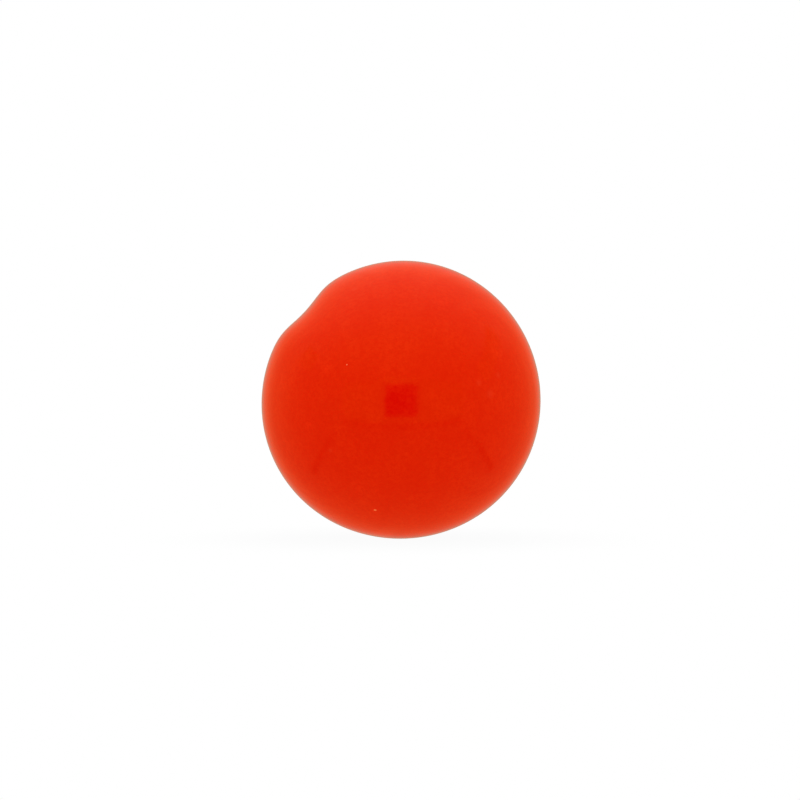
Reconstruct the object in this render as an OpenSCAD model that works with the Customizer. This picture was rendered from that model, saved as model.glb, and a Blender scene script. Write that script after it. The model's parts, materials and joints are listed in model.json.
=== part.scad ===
// Case opening friction ball: a soft inflated ball, with its needle valve in a shallow dimple.
// Z is up. The origin is at the centre of the ball. Millimetres.

/* [Ball] */
// Outside diameter of the inflated ball
ball_diameter = 65; // [60:1:72]
// Thickness of the soft wall
wall_thickness = 3; // [2.5:0.25:3.5]

/* [Dimple] */
// Depth of the dimple below the round surface
dimple_depth = 2.6; // [2:0.1:3]
// Radius of the hollow at the bottom of the dimple
hollow_radius = 30; // [25:1:40]
// Radius of the shoulder that blends the hollow into the ball
shoulder_radius = 15; // [12:1:18]
// Angle of the valve axis above the horizontal, on the left side
valve_elevation = 42; // [0:1:90]

/* [Reinforcing patch] */
// Diameter of the disc bonded to the inside of the wall
patch_diameter = 24; // [22:1:28]
// Thickness of the disc
patch_thickness = 0.8; // [0.5:0.1:1]

/* [Valve seat] */
// Diameter of the neck that passes through the wall
neck_diameter = 9.2; // [9:0.1:10]
// Height of the rounded rim of the neck above the bottom of the dimple
rim_height = 0.3; // [0.2:0.1:0.4]
// Diameter of the flange bonded under the patch
flange_diameter = 18; // [14:1:20]
// Thickness of the flange
flange_thickness = 1; // [0.6:0.1:1.2]
// Diameter of the barrel inside the ball
barrel_diameter = 8.4; // [8:0.1:9]
// Thickness of the barrel's inner end, which the core rests on
stop_thickness = 1.2; // [1:0.1:2]

/* [Valve core] */
// Diameter of the core's shank
core_diameter = 5.2; // [5:0.1:5.6]
// Length of the whole core
core_length = 11; // [10:0.5:13]
// Diameter of the core's head
head_diameter = 7; // [6.6:0.1:7.4]
// Height of the core's head
head_height = 1; // [0.8:0.1:1.4]
// Diameter of the needle channel
channel_diameter = 2.5; // [2.2:0.1:2.6]
// Diameter of the funnel that leads the needle in
funnel_diameter = 4; // [3.4:0.1:4.4]
// Depth of the funnel
funnel_depth = 0.8; // [0.5:0.1:1]
// Gap all round between the core and its seat
core_gap = 0.04; // [0.02:0.01:0.08]

/* [Hidden] */
$fn = 96;
ball_radius = ball_diameter / 2;
// The hollow is an arc about a point on the valve axis outside the ball. The shoulder is an arc
// that touches the ball from inside and the hollow from outside.
bottom_height = ball_radius - dimple_depth;
hollow_height = bottom_height + hollow_radius;
shoulder_distance = ball_radius - shoulder_radius;
shoulder_angle = acos((shoulder_distance ^ 2 + hollow_height ^ 2 - (hollow_radius + shoulder_radius) ^ 2)
    / (2 * shoulder_distance * hollow_height));
shoulder_way = [sin(shoulder_angle), cos(shoulder_angle)];
// Heights along the valve axis, from the ball's centre outwards
rim_top = bottom_height + rim_height;
core_bottom = bottom_height - core_length;
ledge_height = bottom_height - head_height;
barrel_bottom = core_bottom - stop_thickness;
inner_wall_height = bottom_height - wall_thickness;
flange_bottom = inner_wall_height - patch_thickness - flange_thickness;
// The air hole through the stop is wider than the channel, so that a needle can't catch on it
air_hole_allowance = 0.8;
air_hole_diameter = channel_diameter + air_hole_allowance;
// Rounding of the barrel's inner end
barrel_round = 1;
// How far a cutting solid reaches past the faces that it cuts
cut_margin = 1;

// Turns a piece that stands along Z so that it stands along the valve axis
module along_valve() {
    rotate([0, valve_elevation - 90, 0]) children();
}

// Half of the ball's outline with its dimple, moved inwards by inset
module ball_outline(inset) {
    difference() {
        circle(r = ball_radius - inset);
        difference() {
            polygon([
                [0, hollow_height],
                shoulder_distance * shoulder_way,
                2 * ball_radius * shoulder_way
            ]);
            translate(shoulder_distance * shoulder_way) circle(r = shoulder_radius - inset);
        }
        translate([0, hollow_height]) circle(r = hollow_radius + inset);
        translate([-2 * ball_radius, -2 * ball_radius]) square([2 * ball_radius, 4 * ball_radius]);
    }
}

// A layer that follows the wall, from one inset to another, out to a diameter round the valve
module wall_layer(from_inset, to_inset, diameter) {
    rotate_extrude() intersection() {
        difference() {
            ball_outline(from_inset);
            ball_outline(to_inset);
        }
        square([diameter / 2, ball_diameter]);
    }
}

// A cylinder along Z between two heights
module rod(diameter, low, high) {
    translate([0, 0, low]) cylinder(d = diameter, h = high - low);
}

// The neck and the barrel in one turned outline, with a rounded rim and inner end
module seat_stem() {
    rotate_extrude() {
        translate([0, flange_bottom]) square([neck_diameter / 2, rim_top - rim_height - flange_bottom]);
        translate([0, rim_top - 2 * rim_height]) square([neck_diameter / 2 - rim_height, 2 * rim_height]);
        translate([neck_diameter / 2 - rim_height, rim_top - rim_height]) circle(r = rim_height);
        translate([0, barrel_bottom + barrel_round])
            square([barrel_diameter / 2, flange_bottom - barrel_bottom - barrel_round]);
        translate([0, barrel_bottom]) square([barrel_diameter / 2 - barrel_round, 2 * barrel_round]);
        translate([barrel_diameter / 2 - barrel_round, barrel_bottom + barrel_round])
            circle(r = barrel_round);
    }
}

module ball_shell() {
    color("#dd2208") along_valve() difference() {
        rotate_extrude() ball_outline(0);
        rotate_extrude() ball_outline(wall_thickness);
        rod(neck_diameter, inner_wall_height - cut_margin, ball_radius + cut_margin);
    }
}

module valve_patch() {
    color("#b8402a") along_valve() difference() {
        wall_layer(wall_thickness, wall_thickness + patch_thickness, patch_diameter);
        rod(neck_diameter, flange_bottom - cut_margin, ball_radius);
    }
}

module valve_seat() {
    color("#c42a10") along_valve() difference() {
        union() {
            wall_layer(wall_thickness + patch_thickness,
                wall_thickness + patch_thickness + flange_thickness, flange_diameter);
            seat_stem();
        }
        rod(head_diameter, ledge_height, rim_top + cut_margin);
        rod(core_diameter, core_bottom, ledge_height + cut_margin);
        rod(air_hole_diameter, barrel_bottom - cut_margin, core_bottom + cut_margin);
    }
}

module valve_core() {
    color("#8c2a1a") along_valve() difference() {
        union() {
            rod(core_diameter - 2 * core_gap, core_bottom, ledge_height + core_gap);
            rod(head_diameter - 2 * core_gap, ledge_height, bottom_height);
        }
        rod(channel_diameter, core_bottom - cut_margin, bottom_height + cut_margin);
        translate([0, 0, bottom_height - funnel_depth])
            cylinder(d1 = channel_diameter, d2 = funnel_diameter, h = funnel_depth);
        rod(funnel_diameter, bottom_height, bottom_height + cut_margin);
    }
}

ball_shell();
valve_patch();
valve_seat();
valve_core();
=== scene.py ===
"""A case opening friction ball: a soft, glossy orange-red ball with its needle valve in a shallow dimple.

Everything is in metres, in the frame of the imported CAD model. The ball's four pieces are built here as
turned meshes about the valve axis, and the stage is a pale table inside a white light tent.
"""

import json
import math

import bpy
from mathutils import Matrix, Vector, noise


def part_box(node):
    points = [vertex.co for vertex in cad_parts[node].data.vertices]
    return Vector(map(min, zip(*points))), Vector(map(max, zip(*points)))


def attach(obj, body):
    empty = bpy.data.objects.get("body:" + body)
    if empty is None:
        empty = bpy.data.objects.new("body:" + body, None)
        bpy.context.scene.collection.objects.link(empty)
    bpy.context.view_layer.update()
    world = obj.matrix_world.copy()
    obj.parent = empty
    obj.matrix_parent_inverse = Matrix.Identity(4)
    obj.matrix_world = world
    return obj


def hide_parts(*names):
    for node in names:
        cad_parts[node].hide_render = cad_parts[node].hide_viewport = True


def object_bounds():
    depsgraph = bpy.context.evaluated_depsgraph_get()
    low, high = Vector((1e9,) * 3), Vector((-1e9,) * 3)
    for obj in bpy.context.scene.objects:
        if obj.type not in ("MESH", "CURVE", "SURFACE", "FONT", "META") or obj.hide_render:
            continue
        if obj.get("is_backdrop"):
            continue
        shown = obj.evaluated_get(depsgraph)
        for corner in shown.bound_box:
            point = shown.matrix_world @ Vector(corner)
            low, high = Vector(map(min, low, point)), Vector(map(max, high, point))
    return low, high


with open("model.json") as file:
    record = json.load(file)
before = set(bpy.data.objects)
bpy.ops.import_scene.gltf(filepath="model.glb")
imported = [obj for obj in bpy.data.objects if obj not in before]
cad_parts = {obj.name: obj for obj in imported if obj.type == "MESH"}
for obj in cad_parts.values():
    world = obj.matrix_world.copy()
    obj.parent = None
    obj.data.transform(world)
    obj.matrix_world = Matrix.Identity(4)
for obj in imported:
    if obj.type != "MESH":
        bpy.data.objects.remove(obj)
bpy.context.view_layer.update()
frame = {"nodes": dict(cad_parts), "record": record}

MM = 0.001

# ---------------------------------------------------------------------------------------------
# Places and sizes that the frame gives
# ---------------------------------------------------------------------------------------------

low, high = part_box("ball_shell")
CENTRE = (low + high) / 2
RADIUS = (high.y - low.y) / 2
MOUNTS = {mount["name"]: mount for mount in frame["record"]["mounts"]}
VALVE_AXIS = Vector(MOUNTS["needle_channel"]["axis"]).normalized()
CHANNEL_RADIUS = MOUNTS["needle_channel"]["dims"]["r_mm"] * MM


def span(node):
    """(lowest height, highest height, largest distance) of a CAD node, measured along the valve axis."""
    heights, reaches = [], []
    for vertex in frame["nodes"][node].data.vertices:
        offset = vertex.co - CENTRE
        height = offset.dot(VALVE_AXIS)
        heights.append(height)
        reaches.append((offset - height * VALVE_AXIS).length)
    return min(heights), max(heights), max(reaches)


CORE_BOTTOM, CORE_TOP, HEAD_RADIUS = span("valve_core")
SEAT_BOTTOM, SEAT_TOP, FLANGE_RADIUS = span("valve_seat")
PATCH_RADIUS = span("valve_patch")[2]

# The valve's own frame: Z along the valve axis, Y away from the camera
VALVE_X = Vector((0, 1, 0)).cross(VALVE_AXIS).normalized()
VALVE_FRAME = Matrix.Translation(CENTRE) @ Matrix(
    (
        (VALVE_X.x, 0, VALVE_AXIS.x),
        (VALVE_X.y, 1, VALVE_AXIS.y),
        (VALVE_X.z, 0, VALVE_AXIS.z),
    )
).to_4x4()

# ---------------------------------------------------------------------------------------------
# Sizes of the pieces
# ---------------------------------------------------------------------------------------------

WALL = 3.0 * MM
PATCH_THICKNESS = 0.8 * MM
FLANGE_THICKNESS = 1.0 * MM
NECK_RADIUS = 4.6 * MM
BARREL_RADIUS = 4.2 * MM
# The hole through the wall and the patch, a hair wider than the neck in it
HOLE_RADIUS = NECK_RADIUS + 0.01 * MM
# The core slides in its seat with this clearance all round
SHANK_RADIUS = 2.56 * MM
CLEARANCE = 0.04 * MM
# The seat's ledge is this far below the core's top, and the core's head rests over it
HEAD_DEPTH = 1.0 * MM
# How far each layer under the wall lies below the outer skin
UNDER_PATCH = WALL + PATCH_THICKNESS
UNDER_FLANGE = UNDER_PATCH + FLANGE_THICKNESS

# The dimple is longer towards the camera than it is across, and its sides are steeper than a bell's
DIMPLE_DEPTH = 1.45 * MM
DIMPLE_ACROSS = math.radians(8.7)
DIMPLE_ALONG = math.radians(21)
DIMPLE_POWER = 2.4
DIMPLE_TURN = math.radians(0.8)
# The ball is nearly round: its middle leans away from the valve, it is a little flat along one line and
# a little pear-shaped along another. Each turn is from the valve axis, towards the top of the ball.
MEAN_RADIUS = RADIUS - 0.12 * MM
LEAN, LEAN_TURN = 0.24 * MM, math.radians(-5)
FLATNESS, FLAT_TURN = 0.228 * MM, math.radians(8)
PEAR, PEAR_TURN = 0.156 * MM, math.radians(-7)
# Broad, faint lumps, and the place in the noise that they come from
LUMPS = 0.04 * MM
LUMP_SIZE = 26 * MM
LUMP_PLACE = Vector((3.1, 0.7, 5.2))


def direction(polar, around):
    """A unit vector at an angle from the valve axis and an angle around it."""
    return Vector(
        (
            math.sin(polar) * math.cos(around),
            math.sin(polar) * math.sin(around),
            math.cos(polar),
        )
    )


def angle_from(way, turn):
    """Angle between a direction and the valve axis, once that axis is turned in the plane of the dimple."""
    return math.acos(max(-1, min(1, way.dot(direction(turn, 0)))))


def skin_radius(polar, around):
    """Distance of the outer skin from the ball's centre, in the valve's frame."""
    way = direction(polar, around)
    across = (polar * math.cos(around) - DIMPLE_TURN) / DIMPLE_ACROSS
    along = polar * math.sin(around) / DIMPLE_ALONG
    return (
        MEAN_RADIUS
        - LEAN * math.cos(angle_from(way, LEAN_TURN))
        - FLATNESS * math.cos(2 * angle_from(way, FLAT_TURN))
        - PEAR * math.cos(3 * angle_from(way, PEAR_TURN))
        + LUMPS * noise.noise(way * RADIUS / LUMP_SIZE + LUMP_PLACE)
        - DIMPLE_DEPTH * math.exp(-0.5 * math.hypot(across, along) ** DIMPLE_POWER)
    )


def on_skin(azimuth, elevation):
    """A point on the ball's skin: azimuth 0 faces the camera and grows to the right, in degrees."""
    azimuth, elevation = math.radians(azimuth), math.radians(elevation)
    level = math.cos(elevation)
    way = Vector((math.sin(azimuth) * level, -math.cos(azimuth) * level, math.sin(elevation)))
    way.rotate(VALVE_FRAME.to_3x3().inverted())
    return VALVE_FRAME @ (skin_radius(math.acos(way.z), math.atan2(way.y, way.x)) * way)


# ---------------------------------------------------------------------------------------------
# Turned meshes
# ---------------------------------------------------------------------------------------------


def steps(first, last, count):
    """Evenly spaced values from first to last, with count gaps between them."""
    return [first + (last - first) * i / count for i in range(count + 1)]


def turned(name, rings, segments, poles=None):
    """A mesh turned about the valve axis. Each ring is a function of the angle around, which gives
    (distance from the axis, height). poles are the heights on the axis that close the mesh before the
    first ring and after the last; without them, the last ring is joined to the first."""

    def band(ring, next_ring):
        """The faces between two rings, each given by the number of its first vertex."""
        return [
            (ring + k, ring + (k + 1) % segments, next_ring + (k + 1) % segments, next_ring + k)
            for k in range(segments)
        ]

    vertices, faces = [], []
    for ring in rings:
        for k in range(segments):
            around = 2 * math.pi * k / segments
            distance, height = ring(around)
            vertices.append((distance * math.cos(around), distance * math.sin(around), height))
    last = (len(rings) - 1) * segments
    for first in range(0, last, segments):
        faces += band(first, first + segments)
    if poles:
        start, end = len(vertices), len(vertices) + 1
        vertices += [(0, 0, height) for height in poles]
        faces += [((k + 1) % segments, k, start) for k in range(segments)]
        faces += [(last + k, last + (k + 1) % segments, end) for k in range(segments)]
    else:
        faces += band(last, 0)
    mesh = bpy.data.meshes.new(name)
    mesh.from_pydata(vertices, [], faces)
    mesh.transform(VALVE_FRAME)
    mesh.validate()
    mesh.shade_smooth()
    piece = bpy.data.objects.new(name, mesh)
    bpy.context.scene.collection.objects.link(piece)
    return piece


def plain(distance, height):
    """A ring at one distance and one height."""
    return lambda around: (distance, height)


def fillet(centre_distance, centre_height, radius, from_angle, to_angle, count):
    """Rings along a rounded edge. Angles are in degrees, 0 away from the axis and 90 upwards."""
    return [
        plain(centre_distance + radius * math.cos(angle), centre_height + radius * math.sin(angle))
        for angle in steps(math.radians(from_angle), math.radians(to_angle), count)
    ]


def layer_ring(polar, inset):
    """A ring at one angle from the valve axis, on the surface that lies inset below the outer skin."""

    def ring(around):
        reach = skin_radius(polar, around) - inset
        return reach * math.sin(polar), reach * math.cos(polar)

    return ring


def on_layer(distance, inset):
    """A ring at one distance from the valve axis, on the surface that lies inset below the outer skin.
    The core's top is about as far from the ball's centre as the skin is there."""

    def ring(around):
        polar = math.asin(distance / (CORE_TOP - inset))
        reach = skin_radius(polar, around) - inset
        return distance, math.sqrt(reach**2 - distance**2)

    return ring


def lip(polar, inset, hole, turn, share):
    """A ring on the rounded edge where the layer at inset turns into the hole. turn is -1 where the edge
    falls away from the outer skin and 1 where it rises from the inner skin; share goes from 0 to 1."""

    def ring(around):
        distance, height = layer_ring(polar, inset)(around)
        size = distance - hole
        angle = math.pi / 2 * share
        return distance - size * math.sin(angle), height + turn * size * (1 - math.cos(angle))

    return ring


# ---------------------------------------------------------------------------------------------
# Materials
# ---------------------------------------------------------------------------------------------


class Nodes:
    """Short calls to build the nodes of a material or a world."""

    def __init__(self, owner, output="ShaderNodeOutputMaterial", coordinates="Object"):
        owner.use_nodes = True
        self.owner = owner
        self.tree = owner.node_tree
        self.tree.nodes.clear()
        self.output = self.add(output)
        self.place = self.add("ShaderNodeTexCoord").outputs[coordinates]

    def add(self, kind, **settings):
        node = self.tree.nodes.new(kind)
        for key, value in settings.items():
            setattr(node, key, value)
        return node

    def link(self, source, target):
        self.tree.links.new(source, target)

    def noise(self, scale, detail, roughness, stretch=None):
        """Noise of that many features per metre, from 0 to 1."""
        node = self.add("ShaderNodeTexNoise")
        node.inputs["Scale"].default_value = scale
        node.inputs["Detail"].default_value = detail
        node.inputs["Roughness"].default_value = roughness
        source = self.place
        if stretch:
            mapping = self.add("ShaderNodeMapping")
            mapping.inputs["Scale"].default_value = stretch
            self.link(source, mapping.inputs["Vector"])
            source = mapping.outputs["Vector"]
        self.link(source, node.inputs["Vector"])
        return node.outputs["Fac"]

    def remap(self, source, given, wanted=(0, 1)):
        """The source with its given range eased into the wanted one, and held at its ends beyond it."""
        node = self.add("ShaderNodeMapRange", interpolation_type="SMOOTHSTEP")
        for key, value in zip(("From Min", "From Max", "To Min", "To Max"), (*given, *wanted)):
            node.inputs[key].default_value = value
        self.link(source, node.inputs["Value"])
        return node.outputs["Result"]

    def ramp(self, source, stops):
        """Colours along a source that runs from -1 to 1; each stop is a value and a colour."""
        node = self.add("ShaderNodeValToRGB")
        self.link(self.math("MULTIPLY_ADD", source, 0.5, 0.5), node.inputs["Fac"])
        # A new ramp comes with two stops of its own
        elements = node.color_ramp.elements
        for _ in stops[2:]:
            elements.new(0.5)
        for element, (value, colour) in zip(elements, stops):
            element.position = value / 2 + 0.5
            element.color = (*colour, 1)
        return node.outputs["Color"]

    def math(self, operation, *values):
        """One sum on numbers and sockets."""
        node = self.add("ShaderNodeMath", operation=operation)
        for socket, value in zip(node.inputs, values):
            if isinstance(value, (int, float)):
                socket.default_value = value
            else:
                self.link(value, socket)
        return node.outputs[0]

    def mix(self, share, first, second):
        """A mix of two colours; each is a colour or a socket."""
        node = self.add("ShaderNodeMix", data_type="RGBA")
        self.link(share, node.inputs["Factor"])
        for name, value in (("A", first), ("B", second)):
            socket = [s for s in node.inputs if s.name == name and s.type == "RGBA"][0]
            if isinstance(value, tuple):
                socket.default_value = (*value, 1)
            else:
                self.link(value, socket)
        return [s for s in node.outputs if s.type == "RGBA"][0]

    def bump(self, height, distance):
        """A normal for a relief that is that deep where the height goes from 0 to 1."""
        node = self.add("ShaderNodeBump")
        node.inputs["Distance"].default_value = distance
        self.link(height, node.inputs["Height"])
        return node.outputs["Normal"]

    def shader(self, **values):
        """The Principled shader; each value is a number, a colour or a socket."""
        node = self.add("ShaderNodeBsdfPrincipled")
        for key, value in values.items():
            socket = node.inputs[key.replace("_", " ")]
            if isinstance(value, bpy.types.NodeSocket):
                self.link(value, socket)
            elif isinstance(value, tuple):
                socket.default_value = (*value, 1)
            else:
                socket.default_value = value
        self.link(node.outputs["BSDF"], self.output.inputs["Surface"])
        return self.owner


RUBBER_IOR = 1.5
SKIN = (0.675, 0.0115, 0.002)
SKIN_PALE = (0.75, 0.037, 0.006)
SKIN_DEEP = (0.675, 0.007, 0.0015)
SCUFFED = (0.78, 0.04, 0.01)
DUST = (0.90, 0.55, 0.35)
# The skin's gloss gives back hardly any blue
GLOSS_TINT = (1.0, 1.0, 0.1)
# Dust caught on the tacky skin, smudges and soft scuffs: azimuth, elevation and width in millimetres
SPECKS = [
    (-15.7, -49.6, 0.6),
    (-21.9, 13.7, 0.3),
]
SMUDGES = [
    (37.6, 2.2, 2.6),
    (32.3, 6.7, 1.8),
    (42.7, 9.7, 1.8),
    (-30.4, -20.1, 1.3),
    (-30.5, 50.6, 1.8),
]
SCUFFS = [
    (-39.1, -9.9, 4.0),
    (-21.1, -36.5, 4.0),
    (21.9, 41.6, 5.0),
    (-30.6, 12.4, 4.0),
    (44.0, 20.0, 5.0),
]
# A smudge is this much as strong as a speck, and the dust is this rough
SMUDGE_STRENGTH = 0.045
DUST_ROUGHNESS = 0.7


def marks(n, places, inner, outer):
    """1 on the marks and 0 away from them, with an edge from the inner to the outer share of the width."""
    found = None
    for azimuth, elevation, width in places:
        distance = n.add("ShaderNodeVectorMath", operation="DISTANCE")
        n.link(n.place, distance.inputs[0])
        distance.inputs[1].default_value = on_skin(azimuth, elevation)
        edge = (inner * width * MM, outer * width * MM)
        mark = n.remap(distance.outputs["Value"], given=edge, wanted=(1, 0))
        found = mark if found is None else n.math("MAXIMUM", found, mark)
    return found


def ball_skin():
    """Soft, glossy, tacky orange-red compound: faint mottling, a few specks of dust, slight scuffs."""
    n = Nodes(bpy.data.materials.new("ball_skin"))
    grain = n.noise(scale=900, detail=3, roughness=0.75)
    grain = n.remap(grain, given=(0.35, 0.65), wanted=(0, 0.6))
    cloud = n.noise(scale=180, detail=2, roughness=0.5)
    cloud = n.remap(cloud, given=(0.35, 0.65), wanted=(0, 0.45))
    colour = n.mix(grain, SKIN, SKIN_PALE)
    colour = n.mix(cloud, colour, SKIN_DEEP)
    scuffs = n.math("MULTIPLY", marks(n, SCUFFS, inner=0, outer=0.6), grain)
    colour = n.mix(scuffs, colour, SCUFFED)
    specks = marks(n, SPECKS, inner=0.25, outer=0.75)
    smudges = n.math("MULTIPLY", marks(n, SMUDGES, inner=0, outer=0.6), SMUDGE_STRENGTH)
    dust = n.math("MAXIMUM", specks, smudges)
    colour = n.mix(dust, colour, DUST)
    rough = n.noise(scale=120, detail=3, roughness=0.6)
    rough = n.remap(rough, given=(0.3, 0.75), wanted=(0.1, 0.16))
    rough = n.math("MAXIMUM", rough, n.math("MULTIPLY", dust, DUST_ROUGHNESS))
    ripple = n.bump(n.noise(scale=420, detail=2, roughness=0.5), distance=0.02 * MM)
    return n.shader(
        Base_Color=colour,
        Roughness=rough,
        IOR=RUBBER_IOR,
        Specular_Tint=GLOSS_TINT,
        Normal=ripple,
    )


def moulded(name, colour, shade, rough):
    """Satin moulded rubber for the valve's pieces, in patches of two colours and about that rough."""
    n = Nodes(bpy.data.materials.new(name))
    patch = n.noise(scale=500, detail=4, roughness=0.6)
    tint = n.mix(n.remap(patch, given=(0.3, 0.7)), colour, shade)
    gloss = n.noise(scale=900, detail=3, roughness=0.6)
    gloss = n.remap(gloss, given=(0.3, 0.7), wanted=(rough - 0.06, rough + 0.08))
    grain = n.bump(n.noise(scale=5000, detail=2, roughness=0.6), distance=0.01 * MM)
    return n.shader(Base_Color=tint, Roughness=gloss, IOR=RUBBER_IOR, Normal=grain)


# ---------------------------------------------------------------------------------------------
# The pieces
# ---------------------------------------------------------------------------------------------


def make_shell():
    """The hollow ball: its outer skin, the rounded edge of the valve hole, the hole and the inner skin."""
    edge = 0.3 * MM
    # The skins run from the edge of the hole to the last ring before the far pole, with finer steps as
    # far as the dimple goes
    outer_first = math.atan2(HOLE_RADIUS + edge, CORE_TOP)
    inner_first = math.atan2(HOLE_RADIUS + edge, CORE_TOP - WALL)
    fine_end = math.radians(35)
    last = math.radians(179.2)
    outer = steps(last, fine_end, 150) + steps(fine_end, outer_first, 60)[1:]
    inner = steps(inner_first, fine_end, 30) + steps(fine_end, last, 60)[1:]
    shares = steps(0, 1, 6)[1:]
    rings = [layer_ring(polar, 0) for polar in outer]
    rings += [lip(outer_first, 0, HOLE_RADIUS, -1, share) for share in shares]
    rings += [lip(inner_first, WALL, HOLE_RADIUS, 1, share) for share in reversed(shares)]
    rings += [layer_ring(polar, WALL) for polar in inner]
    far_pole = skin_radius(math.pi, 0)
    return turned("ball_skin", rings, 288, poles=(-far_pole, WALL - far_pole))


def make_patch():
    """The disc bonded to the inside of the wall, with a feathered edge."""
    feather = 0.8 * MM
    edge = 0.2 * MM
    rings = [on_layer(reach, WALL) for reach in steps(HOLE_RADIUS, PATCH_RADIUS, 24)]
    rings += [on_layer(PATCH_RADIUS, WALL + edge)]
    rings += [on_layer(reach, UNDER_PATCH) for reach in steps(PATCH_RADIUS - feather, HOLE_RADIUS, 20)]
    return turned("reinforcing_patch", rings, 144)


def make_seat():
    """The flanged housing: rounded rim, neck, flange under the patch, barrel and stepped socket."""
    rim = 0.3 * MM
    # The rim lies below the CAD's, so that it doesn't show above the near side of the dimple
    rim_drop = 0.42 * MM
    rim_middle = SEAT_TOP - rim_drop - rim
    head_socket = HEAD_RADIUS + CLEARANCE
    shank_socket = SHANK_RADIUS + CLEARANCE
    air_hole = 1.65 * MM
    ledge = CORE_TOP - HEAD_DEPTH
    flange_edge = 0.15 * MM
    root = 0.5 * MM
    barrel_end = 1.0 * MM
    hole_end = 0.2 * MM
    rings = []
    # rim, then down the neck
    rings += fillet(head_socket + rim, rim_middle, rim, 180, 90, 6)
    rings += fillet(NECK_RADIUS - rim, rim_middle, rim, 90, 0, 6)
    # flange, following the wall
    flat_radius = FLANGE_RADIUS - flange_edge
    rings += [on_layer(reach, UNDER_PATCH) for reach in steps(NECK_RADIUS, flat_radius, 14)]
    rings += [on_layer(FLANGE_RADIUS, UNDER_PATCH + flange_edge)]
    rings += [on_layer(FLANGE_RADIUS, UNDER_FLANGE - flange_edge)]
    rings += [on_layer(reach, UNDER_FLANGE) for reach in steps(flat_radius, BARREL_RADIUS + root, 12)]
    # barrel with a filleted root and a rounded end
    rings += fillet(BARREL_RADIUS + root, CORE_TOP - UNDER_FLANGE - root, root, 90, 180, 5)
    rings += fillet(BARREL_RADIUS - barrel_end, SEAT_BOTTOM + barrel_end, barrel_end, 0, -90, 8)
    # air hole, shank socket and head socket
    rings += fillet(air_hole + hole_end, SEAT_BOTTOM + hole_end, hole_end, 270, 180, 4)
    rings += [plain(air_hole, CORE_BOTTOM), plain(shank_socket, CORE_BOTTOM)]
    rings += [plain(shank_socket, ledge), plain(head_socket, ledge)]
    rings.reverse()
    return turned("valve_housing", rings, 128)


def make_core():
    """The push-in core: head with a raised ring, funnel, needle channel and shank."""
    shank_end = 0.3 * MM
    flare, flare_height = 0.02 * MM, 0.06 * MM
    underside = CORE_TOP - HEAD_DEPTH + 0.01 * MM
    head_bevel, head_edge = 0.1 * MM, 0.2 * MM
    crown, crown_width, crown_height = 2.75 * MM, 0.22 * MM, 0.1 * MM
    funnel, funnel_edge, funnel_depth = 2.0 * MM, 0.15 * MM, 0.8 * MM
    throat, throat_depth = 0.05 * MM, 0.1 * MM
    rings = []
    # outside, upwards
    rings += fillet(SHANK_RADIUS - shank_end, CORE_BOTTOM + shank_end, shank_end, -90, 0, 5)
    rings += [plain(SHANK_RADIUS, underside - flare_height), plain(SHANK_RADIUS + flare, underside)]
    rings += [plain(HEAD_RADIUS - head_bevel, underside)]
    rings += fillet(HEAD_RADIUS - head_edge, CORE_TOP - head_edge, head_edge, 0, 90, 5)
    # a raised ring on the face, then the funnel and the channel
    rings += [
        plain(crown + crown_width * math.cos(angle), CORE_TOP + crown_height * math.sin(angle))
        for angle in steps(0, math.pi, 8)
    ]
    rings += fillet(funnel + funnel_edge, CORE_TOP - funnel_edge, funnel_edge, 90, 130, 4)
    rings += [plain(CHANNEL_RADIUS + throat, CORE_TOP - funnel_depth)]
    rings += [plain(CHANNEL_RADIUS, CORE_TOP - funnel_depth - throat_depth)]
    rings += [plain(CHANNEL_RADIUS, CORE_BOTTOM)]
    return turned("valve_insert", rings, 96)


def stand_in(piece, body, node, material):
    """Has a piece stand for a CAD node and move with its body."""
    piece.data.materials.append(material)
    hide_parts(node)
    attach(piece, body)


stand_in(make_shell(), "ball", "ball_shell", ball_skin())
stand_in(
    make_patch(),
    "ball",
    "valve_patch",
    moulded("inner_patch", (0.48, 0.05, 0.02), (0.4, 0.035, 0.014), 0.6),
)
stand_in(
    make_seat(),
    "ball",
    "valve_seat",
    moulded("valve_seat", (0.66, 0.022, 0.004), (0.6, 0.016, 0.003), 0.3),
)
stand_in(
    make_core(),
    "core",
    "valve_core",
    moulded("valve_core", (0.17, 0.012, 0.005), (0.13, 0.009, 0.004), 0.4),
)

# ---------------------------------------------------------------------------------------------
# The stage: a pale table in a white light tent
# ---------------------------------------------------------------------------------------------

# The tent round the ball. Its white cloth lights the ball with warm lamps outside it, and the ball is
# glossy enough to show the square hole for the camera and the joins of the cloth. Its parts are in
# multiples of the distance from the ball's centre to the tent's front wall.
FRONT = 4
CLOTH_LIGHT = (1.05, 0.32, 0.09)
# What comes back through the camera hole is mostly the ball's own red
HOLE_LIGHT = (1.0, 0.03, 0.01)
# The table reaches this far from the ball. Right under the ball its glow falls to this much, a painted
# contact shadow
TABLE_REACH = 6.0
TABLE_PAINTED_SHADOW = 0.96
# The camera's distance in radii of the ball, and how far it is right of and above the ball's centre
CAMERA_DISTANCE = 15.93
CAMERA_RIGHT = -0.12 * MM
CAMERA_UP = -0.06 * MM


def glowing(name):
    """The nodes of a material that gives off light, and its light: (nodes, emission node)."""
    n = Nodes(bpy.data.materials.new(name))
    light = n.add("ShaderNodeEmission")
    n.link(light.outputs["Emission"], n.output.inputs["Surface"])
    n.owner.cycles.emission_sampling = "NONE"
    return n, light


def flat_piece(name, corners, material):
    """One flat face of the stage."""
    mesh = bpy.data.meshes.new(name)
    mesh.from_pydata(corners, [], [range(len(corners))])
    mesh.materials.append(material)
    piece = bpy.data.objects.new(name, mesh)
    bpy.context.scene.collection.objects.link(piece)
    piece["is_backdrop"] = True
    return piece


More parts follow.
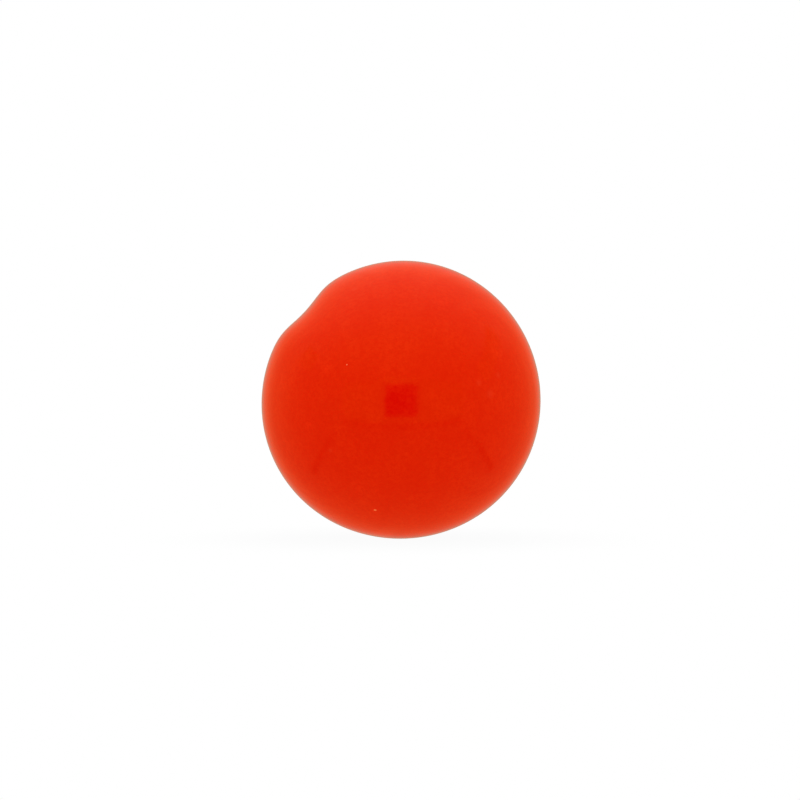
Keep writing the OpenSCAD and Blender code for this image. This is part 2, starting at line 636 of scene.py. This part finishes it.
def make_table():
    """A white light table under the ball. Its glow is a little less round the place where the ball stands,
    a painted contact shadow, and only the camera sees it."""
    n, light = glowing("table_top")
    distance = n.add("ShaderNodeVectorMath", operation="LENGTH")
    n.link(n.place, distance.inputs[0])
    # The glow falls off towards the ball's foot: a painted contact shadow
    glow_with_painted_shadow = n.remap(distance.outputs["Value"], given=(0, 2 * RADIUS), wanted=(TABLE_PAINTED_SHADOW, 1))
    n.link(glow_with_painted_shadow, light.inputs["Strength"])
    corners = [(x * TABLE_REACH, y * TABLE_REACH, 0) for x, y in ((-1, -1), (1, -1), (1, 1), (-1, 1))]
    table = flat_piece("table", corners, n.owner)
    table.location = (CENTRE.x, CENTRE.y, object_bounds()[0][2])
    table.visible_glossy = False
    table.visible_diffuse = False


def tent_panel(name, corners, strength, colour=CLOTH_LIGHT):
    """A flat part of the tent. The camera looks in through it."""
    n, light = glowing(name)
    light.inputs["Color"].default_value = (*colour, 1)
    light.inputs["Strength"].default_value = strength
    panel = flat_piece(name, [CENTRE + FRONT * Vector(corner) for corner in corners], n.owner)
    panel.visible_camera = False


def strip(name, start, end, width, strength):
    """A strip along a join or a fold of the tent, square to the line of sight from the ball."""
    start, end = Vector(start), Vector(end)
    side = (end - start).cross(start + end).normalized() * width / 2
    tent_panel(name, [start - side, end - side, end + side, start + side], strength)


def make_tent():
    """The front wall with a square hole for the camera, the darker joins of the cloth and two folds."""
    left, right, foot, top = -1.08, 1.27, -0.36, 0.32
    port_left, port_right, port_foot, port_top = -0.215, 0.255, -0.25, 0.22
    hem = 0.12
    for name, x0, x1, z0, z1, strength, colour in (
        ("front_left", left, port_left, foot, top, 1.04, CLOTH_LIGHT),
        ("front_right", port_right, right, foot, top, 1.03, CLOTH_LIGHT),
        ("front_above", port_left, port_right, port_top, top, 1.22, CLOTH_LIGHT),
        ("front_below", port_left, port_right, foot, port_foot, 0.86, CLOTH_LIGHT),
        ("front_foot", left, right, foot - hem, foot, 0.6, CLOTH_LIGHT),
        ("camera_port", port_left, port_right, port_foot, port_top, 0.22, HOLE_LIGHT),
    ):
        corners = [(x0, -1, z0), (x1, -1, z0), (x1, -1, z1), (x0, -1, z1)]
        tent_panel(name, corners, strength, colour)
    # The joins run back past the ball, one on each side at this height, and end in a wider corner
    height = -0.485
    for name, start, middle, end in (
        ("left", (-0.94, -0.58, height), (-0.665, -0.02, height), (-0.56, 0.2, height)),
        ("right", (1.04, -0.7, height), (0.79, -0.14, height), (0.625, 0.24, height)),
    ):
        strip(name + "_seam", start, middle, width=0.05, strength=0.52)
        strip(name + "_corner", middle, end, width=0.06, strength=0.5)
    strip("left_fold", (-0.95, -0.12, 0.42), (-0.86, 0.2, 0.44), width=0.2, strength=1.02)
    strip("right_fold", (0.9, -0.3, 0.25), (0.78, 0.3, 0.58), width=0.2, strength=1.05)


def make_world():
    """Plain white for the camera, and the tent's cloth for every other ray."""
    world = bpy.data.worlds.new("tent")
    bpy.context.scene.world = world
    world.cycles.sampling_method = "NONE"
    n = Nodes(world, "ShaderNodeOutputWorld", "Generated")
    way = n.add("ShaderNodeSeparateXYZ")
    n.link(n.place, way.inputs["Vector"])
    # The cloth's colour from the floor to the roof
    height = n.ramp(
        way.outputs["Z"],
        [
            (-1.0, (0.52, 0.138, 0.07)),
            (-0.5, (0.515, 0.133, 0.07)),
            (0.0, (0.53, 0.15, 0.07)),
            (0.35, (0.56, 0.152, 0.08)),
            (0.7, (0.655, 0.2, 0.16)),
            (1.0, (0.73, 0.25, 0.28)),
        ],
    )
    # What it is multiplied by from the front wall to the back, where the cloth gives less red
    depth = n.ramp(
        way.outputs["Y"],
        [
            (-0.9, (0.5, 0.5, 0.6)),
            (-0.3, (0.5, 0.5, 0.5)),
            (0.3, (0.5, 0.5, 0.32)),
            (0.62, (0.5, 0.47, 0.28)),
            (0.8, (0.5, 0.51, 0.38)),
            (0.88, (0.47, 0.56, 0.58)),
            (0.95, (0.31, 0.7, 0.95)),
            (1.0, (0.22, 0.72, 1.0)),
        ],
    )
    cloth = n.add("ShaderNodeVectorMath", operation="MULTIPLY")
    n.link(height, cloth.inputs[0])
    n.link(depth, cloth.inputs[1])
    # Each ramp is at half strength to stay within 1, so the cloth's strength is about 4. It varies in
    # upright folds.
    folds = n.noise(scale=1.0, detail=2, roughness=0.5, stretch=(16, 0.6, 0.6))
    folds = n.remap(folds, given=(0.35, 0.65), wanted=(3.75, 4.25))
    tent = n.add("ShaderNodeBackground")
    n.link(folds, tent.inputs["Strength"])
    n.link(cloth.outputs["Vector"], tent.inputs["Color"])
    white = n.add("ShaderNodeBackground")
    white.inputs["Color"].default_value = (1, 1, 1, 1)
    path = n.add("ShaderNodeLightPath")
    choice = n.add("ShaderNodeMixShader")
    n.link(path.outputs["Is Camera Ray"], choice.inputs["Fac"])
    n.link(tent.outputs["Background"], choice.inputs[1])
    n.link(white.outputs["Background"], choice.inputs[2])
    n.link(choice.outputs["Shader"], n.output.inputs["Surface"])


def make_camera():
    """Level with the ball's centre, straight in front of it."""
    data = bpy.data.cameras.new("camera")
    data.lens = 100
    data.sensor_width = 36
    data.clip_start = 0.01
    camera = bpy.data.objects.new("camera", data)
    camera.location = CENTRE + Vector((CAMERA_RIGHT, -CAMERA_DISTANCE * RADIUS, CAMERA_UP))
    camera.rotation_euler = (math.radians(90), 0, 0)
    bpy.context.scene.collection.objects.link(camera)
    bpy.context.scene.camera = camera


make_camera()
make_world()
make_table()
make_tent()

scene = bpy.context.scene
scene.view_settings.view_transform = "Standard"
scene.view_settings.look = "None"
